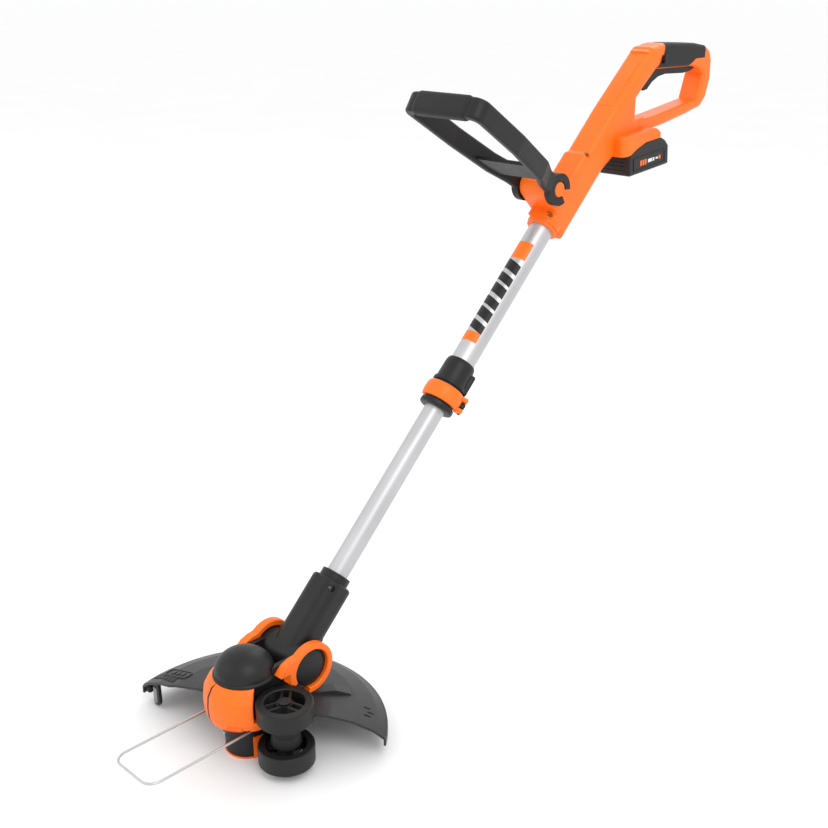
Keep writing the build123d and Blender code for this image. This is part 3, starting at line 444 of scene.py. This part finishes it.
crest = [(101, 49.2), (120, 44.2), (130, 39.4), (141, 34.3), (149.5, 27.6)]
edge_band = skin(crest, radians(186), radians(16), 32)
cut(edge_band, (0, -25.5, 0), (0.06, 1, 0), "near")
cut(edge_band, (0, -35.2, 0), (0.06, 1, 0), "far")
thicken(edge_band, 0.5)
add_bar(edge_band, ((-151.2, -139), (-34.6, -27), (14.8, 25.2)), upright, 3.3, 5)
piece("guard_edge_band", edge_band, "head", "soft_grip", rubber)

# ---- Line cutter ----------------------------------------------------------------------
# Black nylon tongue under the wing's tip, with a ground steel blade let into its face that
# trims the line.
def plate(points, low, high, place, soft, steps):
    """An outline in millimetres, raised along local z, its edges rounded."""
    shape = bmesh.new()
    shape.faces.new([shape.verts.new((x * MM, y * MM, low * MM)) for x, y in points])
    grown = bmesh.ops.extrude_face_region(shape, geom=shape.faces[:])
    top = [item for item in grown["geom"] if isinstance(item, bmesh.types.BMVert)]
    bmesh.ops.translate(shape, verts=top, vec=(0, 0, (high - low) * MM))
    close_holes(shape)
    soften(shape, shape.edges[:], soft, steps)
    bmesh.ops.transform(shape, matrix=place, verts=shape.verts)
    return shape


tongue_place = Matrix.Translation((-132 * MM, -28.5 * MM, 0)) @ Matrix.Rotation(radians(-4), 4, "Z")
tongue_face = tongue_place @ Matrix.Rotation(radians(90), 4, "X")
tongue_outline = [(-3.4, 34), (9.4, 34), (10.2, 9.5), (6.5, 5.0), (-1.0, 2.4), (-3.4, 6)]
blade_outline = [(-1.9, 27), (5.6, 27), (5.8, 9.5), (3.5, 6.8), (-0.8, 5.2), (-1.9, 7)]
tongue = plate(tongue_outline, -0.6, 3.4, tongue_face, 0.7, 3)
blade = plate(blade_outline, 2.6, 4.0, tongue_face, 0.2, 2)
piece("line_cutter_tongue", tongue, "head", "black_plastic", black, "blade_holder", "blade_screws")
piece("line_cutter_blade", blade, "head", "bright_steel", blade_steel, "cutter_blade")

# ---- Barrel gap and badge -------------------------------------------------------------
# A black sealing strip shows in the gap between the barrel's two orange covers, and a small
# blank badge is moulded at the foot of the front one.
wall_line = [(36.7, 44.4), (41.7, 46.6), (44.8, 55), (45.7, 67), (44.4, 80), (39.7, 89), (35.4, 92.2)]
GAP_SIDE = radians(259.6)
GAP_TURN = radians(3.2)
seal = skin(wall_line, GAP_SIDE, GAP_TURN, 3)
thicken(seal, 0.8)
piece("barrel_seal", seal, "head", "black_plastic", black)

BADGE_SIDE = radians(-54)
BADGE_REACH = 43.3
across, out = sin(BADGE_SIDE), cos(BADGE_SIDE)
brow = facing((BADGE_REACH * out, BADGE_REACH * across, 51.3), (-across, out, 0), (out, across, -0.3))
barrel_badge = tray(16, 6, 1.4, 1.0, 0.7, 0.5, brow)
for shift in (-5, -1.7, 1.7, 5):
    add_bar(barrel_badge, ((shift - 0.9, shift + 0.9), (-1.7, 1.7), (-0.2, 0.8)), brow, 0.2, 2)
piece("barrel_badge", barrel_badge, "head", "orange_plastic", orange)

# ---- Loop handle cover ----------------------------------------------------------------
# Soft rubber sleeve moulded over the loop's cross bar, its edges well rounded. The loop
# leans down the shaft a little from square.
LOOP_LEAN = radians(13.3)
LOOP_HINGE = (621.5, 40.5, 0.0)
reach_way = shaft_frame.to_3x3() @ Vector((-sin(LOOP_LEAN), cos(LOOP_LEAN), 0))
up_way = shaft_frame.to_3x3() @ Vector((cos(LOOP_LEAN), sin(LOOP_LEAN), 0))
loop_frame = Matrix((reach_way, up_way.cross(reach_way), up_way)).transposed().to_4x4()
loop_frame.translation = shaft_frame @ (Vector(LOOP_HINGE) * MM)
cover = add_bar(bmesh.new(), ((194.6, 211.0), (-40, 40), (-13.5, 13.5)), loop_frame, 6.2, 6)
piece("loop_cover", cover, "bail", "soft_grip", rubber, "bail_grip")

# ---- Battery details ------------------------------------------------------------------
# The pack is two ABS halves screwed together. Its front has moulded grip ribs, and its
# sides have a sunk field with a printed foil of plain coloured blocks.
PACK_TILT = radians(5.35)
FIELD_REACH = 36.9
foil = moulded("white_foil", (0.8, 0.8, 0.8), (0.7, 0.7, 0.7), 0.4, 1200.0, 0.00001)
pack = facing((0, 650.6, 555.5), (0, cos(PACK_TILT), sin(PACK_TILT)), (0, -sin(PACK_TILT), cos(PACK_TILT)))
ribs = bmesh.new()
for height in (5, 10, 15):
    add_bar(ribs, ((-43.6, -42.2), (-30, 30), (height, height + 2.2)), pack, 0.5)
piece("pack_ribs", ribs, "battery", "battery_plastic", pack_black)
for side, word in ((1, "left"), (-1, "right")):
    wall = pack @ Matrix.Translation((0, -side * FIELD_REACH * MM, 12.5 * MM))
    wall = wall @ Matrix.Rotation(side * pi / 2, 4, "X")
    field = tray(70, 17.5, 1.6, 2.2, 1.5, 0.8, wall)
    piece(f"pack_field_{word}", field, "battery", "battery_plastic", pack_black)
    print_orange, print_white = bmesh.new(), bmesh.new()
    for low, high, rise in ((-20, -16.5, 3.4), (-15, -11.5, 3.4), (-10, -6.5, 3.4), (21, 25, 2.4)):
        add_bar(print_orange, ((low, high), (-rise, rise), (-0.1, 0.2)), wall, 0.05, 1)
    for low, high, rise in ((-3, 6, 2.2), (7.5, 11, 2.2), (14, 19, 1.2)):
        add_bar(print_white, ((low, high), (-rise, rise), (-0.1, 0.2)), wall, 0.05, 1)
    piece(f"pack_print_{word}", print_orange, "battery", "orange_plastic", orange)
    piece(f"pack_foil_{word}", print_white, "battery", "battery_plastic", foil)

# ---- Housing pad ----------------------------------------------------------------------
# The housing's front carries a long raised pad over the controls. It is moulded with the
# shell and slopes with its taper.
TAPER = radians(-2.7)
PAD_FOOT = (764, 15.3, 0)
front = shaft_frame @ Matrix.Translation(Vector(PAD_FOOT) * MM) @ Matrix.Rotation(TAPER, 4, "Z")
pad = add_bar(bmesh.new(), ((5, 80), (-0.4, 0.9), (-9.5, 9.5)), front, 0.8, 4)
piece("housing_pad", pad, "handle", "orange_plastic", orange)

# ---- Floor ----------------------------------------------------------------------------
# A plain pale studio floor, matt and so wide that its far edge is out of sight. It isn't
# part of the trimmer.
FLOOR_HALF_WIDTH = 90.0
floor_mesh = bmesh.new()
bmesh.ops.create_grid(floor_mesh, x_segments=1, y_segments=1, size=FLOOR_HALF_WIDTH)
floor_data = bpy.data.meshes.new("floor")
floor_mesh.to_mesh(floor_data)
floor_mesh.free()
floor = bpy.data.objects.new("floor", floor_data)
bpy.context.scene.collection.objects.link(floor)
floor_paint, floor_shader, floor_tool = new_finish("floor", Roughness=0.6)
pale = floor_tool.blend(floor_tool.noise(3.0), (0.86, 0.86, 0.86, 1), (0.9, 0.9, 0.9, 1))
feed(floor_tool, floor_shader, Base_Color=pale)
floor_data.materials.append(floor_paint)
